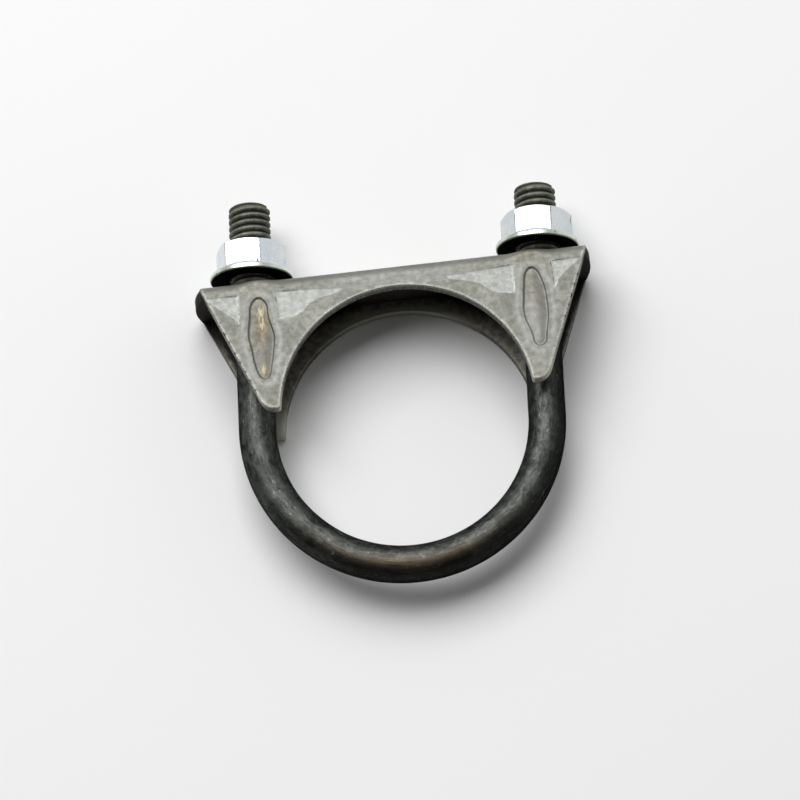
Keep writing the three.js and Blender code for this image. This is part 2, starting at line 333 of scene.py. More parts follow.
def welded(points, faces, tolerance):
    """Merges points that coincide and drops the faces that fold away. Also returns which of the
    old points the new ones are."""
    keys = np.round(points / tolerance).astype(np.int64)
    _, keep, merged = np.unique(keys, axis=0, return_index=True, return_inverse=True)
    merged = merged.ravel()
    out = []
    for face in merged[faces].tolist():
        ring = [v for k, v in enumerate(face) if v != face[k - 1]]
        if len(set(ring)) > 2 and len(set(ring)) == len(ring):
            out.append(ring)
    return points[keep], out, keep


# ---- Saddle ----
# The saddle is meshed as its flat blank: x along the crown, v across it from the crown's middle.
# folded() moves the blank's points to their place on the channel.

CROWN_FLAT = HALF_WIDTH - FOLD_RADIUS
WALL_START = CROWN_FLAT + FOLD_RADIUS * math.pi / 2
CREASE_Y = CROWN_HEIGHT - FOLD_RADIUS
EDGE_ROUNDING = 0.28
LATTICE = 0.56  # spacing of the mesh
DENT_ROWS = (-0.85, -0.6, -0.36, -0.18, 0.0, 0.16, 0.45)  # extra points, outwards from a dent's outline
PATCH_ROWS = (-0.2, -0.07, 0.07, 0.2)  # and from a pressed patch's outline
DENT_STEP = 0.36
DENT_SWELL = 0.34
DENT_SHOULDER = 0.1
INNER_BULGE = 0.45


def wall_v(y):
    """The blank's v for a height on the wall."""
    return WALL_START + CREASE_Y - y


def fold_radius(x):
    """The fold is squeezed almost sharp beside each bolt."""
    squeeze = bump((np.abs(x) - BAND_X) / 5.9)
    return FOLD_RADIUS - (FOLD_RADIUS - TIGHT_FOLD_RADIUS) * squeeze


def outer_section(x, v):
    """Height, width and outward direction of the outer face."""
    a = np.abs(v)
    radius = fold_radius(x)
    straight = FOLD_RADIUS - radius
    length = 2 * straight + radius * math.pi / 2
    d = (a - CROWN_FLAT) / (WALL_START - CROWN_FLAT) * length
    angle = np.clip((d - straight) / radius, 0, math.pi / 2)
    before = np.clip(d, 0, straight)
    after = np.clip(d - length + straight, 0, straight)
    z = CROWN_FLAT + before + radius * np.sin(angle)
    y = CROWN_HEIGHT - radius + radius * np.cos(angle) - after
    z = np.where(a < CROWN_FLAT, a, np.minimum(z, HALF_WIDTH))
    y = np.where(a > WALL_START, CREASE_Y - (a - WALL_START), y)
    side = np.sign(v)
    return y, z * side, np.cos(angle), np.sin(angle) * side


def inner_section(v):
    """Height and width of the inner face."""
    a = np.abs(v)
    angle = np.clip((a - CROWN_FLAT) / (WALL_START - CROWN_FLAT), 0, 1) * math.pi / 2
    y = CROWN_HEIGHT - SHEET - INNER_FOLD_RADIUS * (1 - np.cos(angle))
    z = CROWN_FLAT + INNER_FOLD_RADIUS * np.sin(angle)
    z = np.where(a < CROWN_FLAT, a, z)
    y = np.where(a > WALL_START, CREASE_Y - (a - WALL_START), y)
    return y, z * np.sign(v)


def quarter_outline(side, wall):
    """A quarter of the blank's outline, from the middle of the crown's left (-1) or right (1) end to
    the top of the front (1) or back (-1) arch."""
    tip_height = TIP_HEIGHT[wall]
    extra = LONGER_LEFT if side < 0 else 0.0
    corner_x = {1: CROWN_CORNER_X, -1: CROWN_CORNER_X + extra}
    here = corner_x[wall]
    middle = CROWN_HALF_LENGTH + extra
    bow = 2 * middle - (corner_x[1] + corner_x[-1]) / 2
    end = curve((corner_x[-wall], -CROWN_FLAT), (bow, 0), (here, CROWN_FLAT), 20)[9:]
    wall_end = (here - CROWN_CORNER_X + WALL_HALF_LENGTH, WALL_START)
    end += curve(end[-1], (here - 0.1, WALL_START - 1.4), wall_end, 6)
    arch_start = math.asin(tip_height / ARCH_RADIUS)
    shoulder = (SHOULDER[0], wall_v(SHOULDER[1]))
    low = (ARCH_RADIUS * math.cos(arch_start) + 1.2, wall_v(tip_height))
    tip = curve(shoulder, (SHOULDER[0] - 1.1, wall_v(tip_height)), low, 10)
    arch = [(x, wall_v(y)) for x, y in arc((0, 0), ARCH_RADIUS, math.degrees(arch_start), 90, 112)]
    tip += curve(low, (arch[0][0] + 0.2, wall_v(tip_height - 0.2)), arch[1], 3)
    return end + [shoulder] + tip + arch[2:]


def blank_outline():
    """The whole outline of the flat blank."""
    right_front = quarter_outline(1, 1)[:-1]
    left_front = [(-x, v) for x, v in quarter_outline(-1, 1)[::-1][:-1]]
    left_back = [(-x, -v) for x, v in quarter_outline(-1, -1)[:-1]]
    right_back = [(x, -v) for x, v in quarter_outline(1, -1)[::-1][:-1]]
    return resampled(right_front + left_front + left_back + right_back, 0.42)


def dent_outline(side):
    """The dent beside the left (-1) or right (1) leg, as (x from the band's middle, height on the
    wall): widest half-way up, narrowing straight to a blunt foot and a broad round top."""
    bottom, length, half_width = (9.75, 19.9, 2.95) if side < 0 else (10.4, 19.2, 2.95)
    edge = []
    for t in (1 - np.cos(np.linspace(0, math.pi, 45))) / 2:
        taper = 1 - 0.5 * ((0.5 - t) / 0.5) ** 1.15 if t < 0.5 else 1 - 0.42 * ((t - 0.5) / 0.5) ** 1.35
        foot = math.sqrt(1 - (1 - min(t / 0.09, 1)) ** 2)
        top = math.sqrt(1 - (1 - min((1 - t) / 0.16, 1)) ** 2)
        wobble = 0.09 * math.sin(17 * t + 2 * side) * foot * top
        edge.append((half_width * taper * foot * top + wobble, bottom + length * t))
    mirrored = [(-x + 0.2 * math.sin(11 * (y - bottom) / length), y) for x, y in edge[1:-1][::-1]]
    return edge + mirrored


def outer_patch(side):
    """The pressed patch between the dent and the wall's slanted edge."""
    corner, top, low = (42.9, 30.45), (35.6, 30.55), (35.8, 23.9)
    bow = (39.2, 26.9) if side < 0 else (37.6, 27.6)
    return [corner, top, low] + curve(low, bow, corner, 8)[:-1]


def inner_patch(_side):
    """The pressed patch between the dent and the arch, the same on both sides."""
    edge = [(27.1, 30.65), (26.8, 24.0), (23.5, 24.05)]
    edge += curve(edge[-1], (20.9, 25.0), (19.7, 26.65), 5)
    edge += curve(edge[-1], (18.05, 27.7), (14.5, 28.35), 5)
    edge += curve(edge[-1], (12.6, 28.75), (11.65, 29.6), 4)
    return edge + [(15.0, 29.7)]


def on_both_walls(outline, x_centre=0.0):
    """The outline on the four half-walls, in the blank's coordinates."""
    out = []
    for side in (-1, 1):
        for wall in (-1, 1):
            out.append([(side * (x + x_centre), wall * wall_v(y)) for x, y in outline(side)])
    return out


def offset_loop(loop, distance):
    """The outline moved outwards by a distance."""
    here = np.asarray(loop)
    along = np.roll(here, -1, axis=0) - np.roll(here, 1, axis=0)
    normal = np.stack([along[:, 1], -along[:, 0]], axis=1)
    normal /= np.linalg.norm(normal, axis=1)[:, None]
    area = np.sum(here[:, 0] * np.roll(here[:, 1], -1) - np.roll(here[:, 0], -1) * here[:, 1])
    return here + normal * distance * (1 if area > 0 else -1)


def blank_mesh():
    """The flat blank as points and triangles."""
    outline = blank_outline()
    holes = [arc((side * HOLE_X, 0), HOLE_RADIUS, 0, 355, 71) for side in (-1, 1)]
    dents = [resampled(loop, 0.32) for loop in on_both_walls(dent_outline, BAND_X)]
    patches = [resampled(loop, 0.4) for loop in on_both_walls(outer_patch) + on_both_walls(inner_patch)]

    reach = wall_v(min(TIP_HEIGHT.values())) + 1
    rows = np.arange(-reach, reach, LATTICE * math.sqrt(3) / 2)
    columns = np.arange(-CROWN_HALF_LENGTH - 2, CROWN_HALF_LENGTH + 2, LATTICE)
    v, x = np.meshgrid(rows, columns, indexing="ij")
    x = x + LATTICE / 2 * (np.arange(len(rows)) % 2)[:, None]
    x, v = x.ravel(), v.ravel()

    def keep(mask):
        nonlocal x, v
        x, v = x[mask], v[mask]

    keep(signed_distance(x, v, outline[::2]) < -0.75 * LATTICE - EDGE_ROUNDING)
    for hole in holes:
        keep(signed_distance(x, v, hole) > 0.6 * LATTICE + EDGE_ROUNDING)
    extra = []
    for loop in dents:
        sd = signed_distance(x, v, loop)
        keep((sd > 0.75) | (sd < -1.05))
        for step in DENT_ROWS:
            extra.append(offset_loop(loop, step))
    for loop in patches:
        keep(np.abs(signed_distance(x, v, loop)) > 0.42)
        for step in PATCH_ROWS:
            extra.append(offset_loop(loop, step))
    extra = np.concatenate(extra)
    inside = signed_distance(extra[:, 0], extra[:, 1], outline[::2]) < -EDGE_ROUNDING - 0.2
    extra = extra[inside]

    loops = [outline] + holes
    points = [p for loop in loops for p in loop]
    edges = []
    start = 0
    for loop in loops:
        edges += [(start + k, start + (k + 1) % len(loop)) for k in range(len(loop))]
        start += len(loop)
    points = np.concatenate([np.array(points), np.stack([x, v], axis=1), extra])
    out, _, triangles, *_ = delaunay_2d_cdt([Vector(p) for p in points.tolist()], edges, [], 0, 1e-4, False)
    flat = np.array([tuple(p) for p in out])
    triangles = np.array(triangles)
    middle = flat[triangles].mean(axis=1)
    solid = signed_distance(middle[:, 0], middle[:, 1], outline) < 0
    for hole in holes:
        solid &= signed_distance(middle[:, 0], middle[:, 1], hole) > 0
    triangles = triangles[solid]
    a, b, c = (flat[triangles[:, k]] for k in range(3))
    area = (b[:, 0] - a[:, 0]) * (c[:, 1] - a[:, 1]) - (c[:, 0] - a[:, 0]) * (b[:, 1] - a[:, 1])
    triangles[area < 0] = triangles[area < 0][:, ::-1]
    used = np.unique(triangles)
    new_index = np.full(len(flat), -1)
    new_index[used] = np.arange(len(used))
    return flat[used], new_index[triangles]


def rim_of(triangles):
    """Directed edges that belong to one triangle only, as pairs of points."""
    seen = {}
    for a, b, c in triangles.tolist():
        for edge in ((a, b), (b, c), (c, a)):
            seen[edge] = True
    return [edge for edge in seen if (edge[1], edge[0]) not in seen]


def wall_y(v):
    """Height on the wall for the blank's v, on either wall."""
    return CREASE_Y + WALL_START - np.abs(v)


def wall_marks(x, v):
    """Height on the wall, distance from the middle, and the distances to the nearest dent and to
    the nearest pressed patch, negative inside them."""
    y = wall_y(v)
    ax = np.abs(x)

    def on_both_sides(outline, x_centre=0.0):
        left, right = (signed_distance(ax - x_centre, y, outline(side)) for side in (-1, 1))
        return np.where(x < 0, left, right)

    patch = np.minimum(on_both_sides(outer_patch), on_both_sides(inner_patch))
    return y, ax, on_both_sides(dent_outline, BAND_X), patch


def rim_directions(flat, rim):
    """Outward unit vectors of the points on the rim; zero elsewhere."""
    outward = np.zeros((len(flat), 2))
    for a, b in rim:
        along = flat[b] - flat[a]
        normal = np.array([along[1], -along[0]]) / np.linalg.norm(along)
        outward[a] += normal
        outward[b] += normal
    on_rim = np.linalg.norm(outward, axis=1) > 0
    outward[on_rim] /= np.linalg.norm(outward[on_rim], axis=1)[:, None]
    return outward, on_rim


def saddle():
    """The pressed sheet: its outer face, its sheared edge and its inner face as one closed skin."""
    flat, triangles = blank_mesh()
    count = len(flat)
    rim = rim_of(triangles)
    outward, on_rim = rim_directions(flat, rim)

    # Rows of the skin from the outer face, round the sheared edge, to the inner face
    corner = np.radians([0, 22, 45, 68, 90])
    back = [EDGE_ROUNDING * (1 - math.sin(a)) for a in corner]
    down = [EDGE_ROUNDING * (1 - math.cos(a)) for a in corner]
    inset = back + [0.0, 0.02, 0.0] + [0.6 * b for b in back[::-1]]
    depth = down + [0.8, SHEET / 2, 2.0] + [SHEET - 0.6 * d for d in down[::-1]]

    rim_points = sorted({a for a, _ in rim})
    position = {p: k for k, p in enumerate(rim_points)}
    rim_points = np.array(rim_points)
    rows_flat = [flat - outward * inset[0]]
    rows_depth = [np.zeros(count)]
    for k in range(1, len(inset) - 1):
        rows_flat.append(flat[rim_points] - outward[rim_points] * inset[k])
        rows_depth.append(np.full(len(rim_points), depth[k]))
    rows_flat.append(flat - outward * inset[-1])
    rows_depth.append(np.full(count, SHEET))
    blank = np.concatenate(rows_flat)
    deep = np.concatenate(rows_depth)
    points, attributes = folded(blank, deep)
    edge = np.zeros(len(blank))
    edge[count:-count] = 1
    attributes["edge"] = edge
    # Painted highlight along the rims of the outer face and the sheared edge, where the burr catches the
    # light.
    burr_highlight = np.zeros(len(blank))
    burr_highlight[:count] = on_rim
    burr_highlight[count:-count] = smoothstep(0.5, 0.1, deep[count:-count])
    attributes["burr_highlight"] = burr_highlight

    faces = triangles.tolist()
    under = len(blank) - count
    faces += (under + triangles[:, ::-1]).tolist()
    between = len(inset) - 2
    for a, b in rim:
        ring_a = [a] + [count + k * len(rim_points) + position[a] for k in range(between)] + [under + a]
        ring_b = [b] + [count + k * len(rim_points) + position[b] for k in range(between)] + [under + b]
        for k in range(between + 1):
            faces.append((ring_b[k], ring_a[k], ring_a[k + 1], ring_b[k + 1]))

    c, s = math.cos(SADDLE_SKEW), math.sin(SADDLE_SKEW)
    x, y = points[:, 0].copy(), points[:, 1].copy()
    points[:, 0] = SADDLE_OFFSET[0] + c * x - s * y
    points[:, 1] = SADDLE_OFFSET[1] + s * x + c * y
    attributes["own"] = np.stack([x, y, points[:, 2]], axis=1)
    obj = piece("saddle_pressing", points, faces, "saddle_body", "saddle", attributes, 50)
    obj.data.materials.append(mill_steel())
    return obj


def folded(blank, deep):
    """Places the blank's points on the folded channel, with the press marks as relief."""
    x, v = blank[:, 0], blank[:, 1]
    y, ax, dent, patch = wall_marks(x, v)
    outer_y, outer_z, normal_y, normal_z = outer_section(x, v)
    inner_y, inner_z = inner_section(v)
    share = deep / SHEET
    on_wall = smoothstep(WALL_START - 3.0, WALL_START, np.abs(v))

    # The dent: a steep step at its outline, then a floor that swells again towards its middle
    inside = np.clip(-dent, 0, None)
    step = DENT_STEP * smoothstep(0.0, 0.3, inside)
    swell = DENT_SWELL * smoothstep(0.25, 2.6, inside)
    shoulder = DENT_SHOULDER * np.exp(-((dent - 0.9) / 0.8) ** 2) * (dent > -0.2)
    by_dent = np.where(ax > BAND_X, smoothstep(41, 36, ax), smoothstep(20, 26, ax))
    flat_patch = (0.015 + 0.1 * by_dent) * smoothstep(0.16, -0.16, patch) * on_wall
    sample = np.stack([x, v, np.zeros_like(x)], axis=1)
    waves = fractal(sample, 14.0, 2, seed=3.0)
    pits = fractal(sample, 1.3, 2, seed=9.0)
    press = (-step + swell) * on_wall - flat_patch + shoulder * on_wall
    press += 0.05 * waves - 0.03 * smoothstep(0.5, 0.95, pits)
    relief = press * (1 - share)
    bulge = INNER_BULGE * smoothstep(0.0, 2.6, inside) * share * on_wall
    folded_y = outer_y + (inner_y - outer_y) * share + normal_y * relief
    folded_z = outer_z + (inner_z - outer_z) * share + normal_z * relief - np.sign(v) * bulge
    ragged = fractal(np.stack([x, v, deep], axis=1), 0.9, 2, seed=21.0)
    folded_y = np.minimum(folded_y + 0.02 * ragged * (deep > 0.1), CROWN_HEIGHT)
    folded_z = np.clip(folded_z, -HALF_WIDTH, HALF_WIDTH)

    outer_face = share < 0.5
    # Painted highlight: a bright line along the pressed patches' outline next to the dents, where the step
    # catches the light.
    patch_step_highlight = np.exp(-((patch - 0.05) / 0.16) ** 2) * smoothstep(0.9, 1, by_dent)
    attributes = {
        "patch": smoothstep(0.14, -0.14, patch) * on_wall * outer_face,
        "patch_edge_highlight": patch_step_highlight * on_wall * outer_face,
        "dent": smoothstep(0.1, -0.3, dent) * on_wall * outer_face,
        "band": smoothstep(18, 10.5, ax) * smoothstep(28.3, 28.9, y) * on_wall * outer_face,
    }
    attributes.update(dent_marks(x, v, dent, on_wall * outer_face))
    attributes.update(stains(x, v, outer_face))
    attributes.update(inner_shade(x, v, share))
    return np.stack([x, folded_y, folded_z], axis=1), attributes


def dent_marks(x, v, dent, outer_wall):
    """Painted shadow along each dent's outline, where its step shades the floor, and a painted highlight on
    the shoulder outside it. The front wall's right dent also has a painted highlight in its middle and
    along its left side."""
    y, ax = wall_y(v), np.abs(x)
    front_right = (x > 0) * (v > 0)
    lit_edge = front_right * (x < BAND_X) * smoothstep(22, 19, y)
    dent_highlight = np.exp(-((dent - 1.15) / 0.5) ** 2)
    dent_highlight += 1.2 * blob(ax - BAND_X, y, (-0.3, 16.0), (1.9, 5.0)) * front_right
    dent_highlight += 1.2 * np.exp(-((dent + 0.05) / 0.16) ** 2) * lit_edge
    # Painted shadow: a dark line along the dent's outline, where its steep step shades the floor.
    crease_shadow = np.exp(-((dent + 0.1) / 0.12) ** 2) * smoothstep(29.6, 27.5, y) * (1 - 0.8 * lit_edge)
    return {"crease_shadow": crease_shadow * outer_wall, "dent_highlight": np.clip(dent_highlight, 0, 1) * outer_wall}


def stains(x, v, outer_face):
    """Rust in the front wall's dents, above them on the fold and on the tips, and pale golden streaks in
    the left dent that are partly a painted highlight on the crest of its swelling floor."""
    y, ax = wall_y(v), np.abs(x)
    from_band, across = ax - BAND_X, np.abs(v)
    on_fold = CROWN_FLAT + 2.6
    front = v > 0
    left, right = (x < 0) * front, (x > 0) * front
    # Partly painted highlight: the pale streaks run along the crest of the dent's swelling floor.
    streak_and_highlight = blob(from_band, y, (-0.5, 24.6), (0.7, 3.6)) * left
    streak_and_highlight += 0.7 * blob(from_band, y, (0.1, 12.2), (0.6, 1.2)) * left
    rust = blob(from_band, y, (0.1, 22.6), (1.5, 5.2)) * left
    rust += 0.5 * blob(from_band, y, (0.1, 11.6), (1.2, 1.6)) * left
    rust += 0.3 * blob(from_band, y, (0.0, 24.0), (1.6, 3.6)) * right
    rust += 0.8 * blob(x, across, (BAND_X, on_fold), (2.6, 1.9)) * front
    rust += 0.3 * blob(x, across, (-BAND_X, on_fold), (2.6, 1.9)) * front
    rust += 0.35 * blob(ax, y, (30.0, 4.0), (1.5, 1.1)) * front
    return {"rust": np.clip(rust, 0, 1) * outer_face, "streak_and_highlight": np.clip(streak_and_highlight, 0, 1) * outer_face}


def inner_shade(x, v, share):
    """The inner face: painted shade deep in the channel, painted light low down and by the back arch,
    and the crown's ends darkened, partly as painted shade.
    """
    y, ax = wall_y(v), np.abs(x)
    inner_face = share > 0.96
    from_arch = np.hypot(x, y) - ARCH_RADIUS
    slant = np.array([WALL_HALF_LENGTH - SHOULDER[0], CREASE_Y - SHOULDER[1]])
    slant /= np.linalg.norm(slant)
    from_slant = slant[0] * (y - SHOULDER[1]) - slant[1] * (ax - SHOULDER[0])
    outside_leg = smoothstep(31.5, 34.5, ax) * smoothstep(5, 8, y) * smoothstep(0.1, 0.6, from_slant)
    shaded = np.maximum(smoothstep(19, 28, y), outside_leg)
    # Painted light: the back wall's inner face beside the arch, and the edges and inner faces low on the
    # walls, are lightened through "low".
    lit_by_arch = smoothstep(2.4, 0.8, from_arch) * smoothstep(21, 9, ax) * (v < 0)
    # Partly painted shade, partly dark sheared metal: the crown's ends, their edge and the inner face
    # beside them.
    by_the_end = smoothstep(CROWN_CORNER_X - 2.2, CROWN_CORNER_X - 0.4, ax)
    return {
        "inner": 1.0 * inner_face,
        # Painted shade: the inner face deep in the channel, hidden from the light, is darkened to near
        # black.
        "inside": inner_face * smoothstep(2.0, 4.6, from_arch) * shaded,
        "low": np.maximum(smoothstep(10, 4, y), lit_by_arch),
        "soot_and_shade": by_the_end * smoothstep(0.05, 0.2, share),
    }


# ---- Nuts ----

def hexagon_radius(theta):
    """Distance from the axis to a hexagon with rounded corners and a flat facing theta = 0."""
    from_flat = np.abs((theta + math.pi / 6) % (math.pi / 3) - math.pi / 6)
    from_corner = math.pi / 6 - from_flat
    centre = (ACROSS_FLATS / 2 - EDGE_RADIUS) / math.cos(math.pi / 6)
    reach = math.atan2(EDGE_RADIUS * 0.5, centre + EDGE_RADIUS * math.cos(math.pi / 6))
    under = np.maximum(EDGE_RADIUS ** 2 - (centre * np.sin(from_corner)) ** 2, 0)
    rounded = centre * np.cos(from_corner) + np.sqrt(under)
    return np.where(from_corner < reach, rounded, ACROSS_FLATS / 2 / np.cos(from_flat))


def filleted(corners, radii, guard=0.1, between=3):
    """An open profile with its corners rounded, a support point on both sides of each corner, and
    a few points along every straight."""
    out = [corners[0]]

    def straight_to(point):
        start = np.array(out[-1])
        for k in range(1, between + 1):
            out.append(tuple(start + (np.array(point) - start) * k / (between + 1)))
        out.append(tuple(point))

    for k in range(1, len(corners) - 1):
        here = np.array(corners[k])
        to_last, to_next = np.array(corners[k - 1]) - here, np.array(corners[k + 1]) - here
        room = 0.45 * min(np.linalg.norm(to_last), np.linalg.norm(to_next))
        to_last /= np.linalg.norm(to_last)
        to_next /= np.linalg.norm(to_next)
        bend = math.acos(np.clip(to_last @ to_next, -1, 1))
        cut = min(radii[k] / math.tan(bend / 2), room - guard / 2)
        a, b = here + to_last * cut, here + to_next * cut
        straight_to(a + to_last * guard / 2)
        out.append(tuple(a))
        out += curve(tuple(a), tuple(here), tuple(b), 4)
        out.append(tuple(b + to_next * guard / 2))
    straight_to(corners[-1])
    return out


def nut_profile(side_radius):
    """Radius and height round the wall of the nut at one angle, from the bore's foot to its head."""
    chamfer_drop = max(0.02, (side_radius - NUT_CHAMFER_RADIUS) * math.tan(math.pi / 6))
    cone_foot = FLANGE_RADIUS - LIP_WIDTH
    cone_slope = (CONE_TOP - FLANGE_LIP) / (cone_foot - ACROSS_FLATS / 2 + 0.2)
    cone_at_side = FLANGE_LIP + (cone_foot - side_radius) * cone_slope
    corners = [
        (BORE_RADIUS, NUT_HEIGHT / 2),
        (BORE_RADIUS, BORE_CHAMFER),
        (BORE_RADIUS + 0.5, 0.05),
        (BORE_RADIUS + 1.7, 0.0),
        (FLANGE_RADIUS, 0.0),
        (FLANGE_RADIUS, FLANGE_LIP - 0.05),
        (side_radius, cone_at_side),
        (side_radius, NUT_HEIGHT - chamfer_drop),
        (min(NUT_CHAMFER_RADIUS, side_radius - 0.16), NUT_HEIGHT),
        (BORE_RADIUS + BORE_CHAMFER, NUT_HEIGHT),
        (BORE_RADIUS, NUT_HEIGHT - BORE_CHAMFER),
        (BORE_RADIUS, NUT_HEIGHT / 2),
    ]
    radii = [0, 0.1, 0.1, 0.3, 0.32, 0.42, 0.55, 0.14, 0.3, 0.12, 0.12, 0]
    return filleted(corners, radii)[:-1]


def nut_angles():
    """Angles round the nut, closer together at the six corners."""
    sector = np.linspace(-1, 1, 29)[:-1]
    local = np.sign(sector) * np.abs(sector) ** 0.55 * math.pi / 6
    return np.concatenate([k * math.pi / 3 + local for k in range(6)])


def nut(side):
    """The left or right flange nut, with knocked corners and lip."""
    theta = nut_angles()
    rings = [nut_profile(r) for r in hexagon_radius(theta)]
    stations = len(rings[0])
    r = np.array([[p[0] for p in ring] for ring in rings])
    h = np.array([[p[1] for p in ring] for ring in rings])
    angle = np.repeat(theta[:, None], stations, axis=1)
    seed = 11.0 if side == "left" else 17.0
    sample = np.stack([r * np.sin(angle), h, r * np.cos(angle)], axis=-1).reshape(-1, 3)
    waves = fractal(sample, 3.4, 2, seed).reshape(r.shape)
    knocks = fractal(sample, 1.1, 2, seed + 3).reshape(r.shape)
    corner = hexagon_radius(angle) > ACROSS_FLATS / 2 / math.cos(math.radians(25))
    outside = (r > BORE_RADIUS + 0.8) & (h > 0.05)
    lip = (h < FLANGE_LIP) & (r > FLANGE_RADIUS - 0.5)
    dings = smoothstep(0.35, 0.8, knocks) * outside * (corner | lip)
    r = r + outside * (0.022 * waves) - 0.14 * dings
    turned = angle + NUT_TURN[side]
    sign = -1 if side == "left" else 1
    base = (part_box(f"{side}_nut")[0][1] - CLAMP_ORIGIN.y) / MM
    points = np.stack([sign * LEG_X + r * np.sin(turned), base + h, r * np.cos(turned)], axis=-1)
    points = points.reshape(-1, 3)
    faces = []
    for i in range(len(theta)):
        j = (i + 1) % len(theta)
        for k in range(stations):
            m = (k + 1) % stations
            faces.append((i * stations + k, i * stations + m, j * stations + m, j * stations + k))
    hexagon_ridge = smoothstep(0.992, 1.0, hexagon_radius(angle) / hexagon_radius(math.pi / 6))
    attributes = {
        "ding": dings.ravel(),
        # Painted shade: the flange's underside and the bore's foot are darkened to near black.
        "under": (smoothstep(0.6, 0.1, h) * (r < FLANGE_RADIUS - 0.2)).ravel(),
        "lip": ((h < FLANGE_LIP + 0.3) & (r > FLANGE_RADIUS - 1.0)).astype(float).ravel(),
        "rim": (smoothstep(0.55, 0.15, h) * (r > FLANGE_RADIUS - 0.5)).ravel(),
        "ridge": (hexagon_ridge * (h > 2.6)).ravel(),
        "own": sample,
    }
    obj = piece(f"{side}_flange_nut", points, faces, f"{side}_nut_body", f"{side}_nut",
                attributes, 35)
    obj.data.materials.append(zinc_plate(side))
    return obj


# ---- Materials ----

class Shader:
    """A material with one Principled shader, and short names for the nodes that feed it."""

    def __init__(self, name, **fixed):
        self.material = bpy.data.materials.new(name)
        self.material.use_nodes = True
        self.tree = self.material.node_tree
        self.surface = self.tree.nodes["Principled BSDF"]
        for key, value in fixed.items():
            self.surface.inputs[key.capitalize()].default_value = value

    def add(self, kind, inputs=(), **settings):
        node = self.tree.nodes.new(kind)
        for key, value in settings.items():
            setattr(node, key, value)
        for key, value in dict(inputs).items():
            self.feed(node.inputs[key], value)
        return node

    def feed(self, socket, value):
        if isinstance(value, bpy.types.NodeSocket):
            self.tree.links.new(value, socket)
        else:
            socket.default_value = value

    def attribute(self, name, output="Fac"):
        return self.add("ShaderNodeAttribute", attribute_name=name).outputs[output]

    def noise(self, vector, scale, detail=4.0, roughness=0.6, stretch=(1, 1, 1), shift=(0, 0, 0)):
        mapping = self.add("ShaderNodeMapping", {"Vector": vector, "Scale": stretch, "Location": shift})
        node = self.add("ShaderNodeTexNoise", {
            "Vector": mapping.outputs[0], "Scale": scale, "Detail": detail, "Roughness": roughness,
        })
        return node.outputs["Fac"]

    def map(self, value, low, high, to_low=0.0, to_high=1.0):
        node = self.add("ShaderNodeMapRange", {
            "Value": value, "From Min": low, "From Max": high, "To Min": to_low, "To Max": to_high,
        }, interpolation_type="SMOOTHSTEP")
        return node.outputs[0]

    def maths(self, operation, a, b):
        return self.add("ShaderNodeMath", {0: a, 1: b}, operation=operation).outputs[0]

    def times(self, *values):
        out = values[0]
        for value in values[1:]:
            out = self.maths("MULTIPLY", out, value)
        return out

    def plus(self, a, b):
        return self.maths("ADD", a, b)

    def blend(self, factor, a, b, mode="MIX"):
        node = self.add("ShaderNodeMix", data_type="RGBA", blend_type=mode, clamp_factor=True)
        self.feed(node.inputs["Factor"], factor)
        self.feed(node.inputs[6], a)
        self.feed(node.inputs[7], b)
        return node.outputs[2]

    def finish(self, colour, roughness, height, depth_mm, metallic=None):
        self.feed(self.surface.inputs["Base Color"], colour)
        self.feed(self.surface.inputs["Roughness"], roughness)
        if metallic is not None:
            self.feed(self.surface.inputs["Metallic"], metallic)
        relief = self.add("ShaderNodeBump", {"Height": height, "Distance": depth_mm * MM, "Strength": 1.0})
        self.feed(self.surface.inputs["Normal"], relief.outputs[0])
        return self.material


def rgb(red, green, blue):
    return (red, green, blue, 1.0)


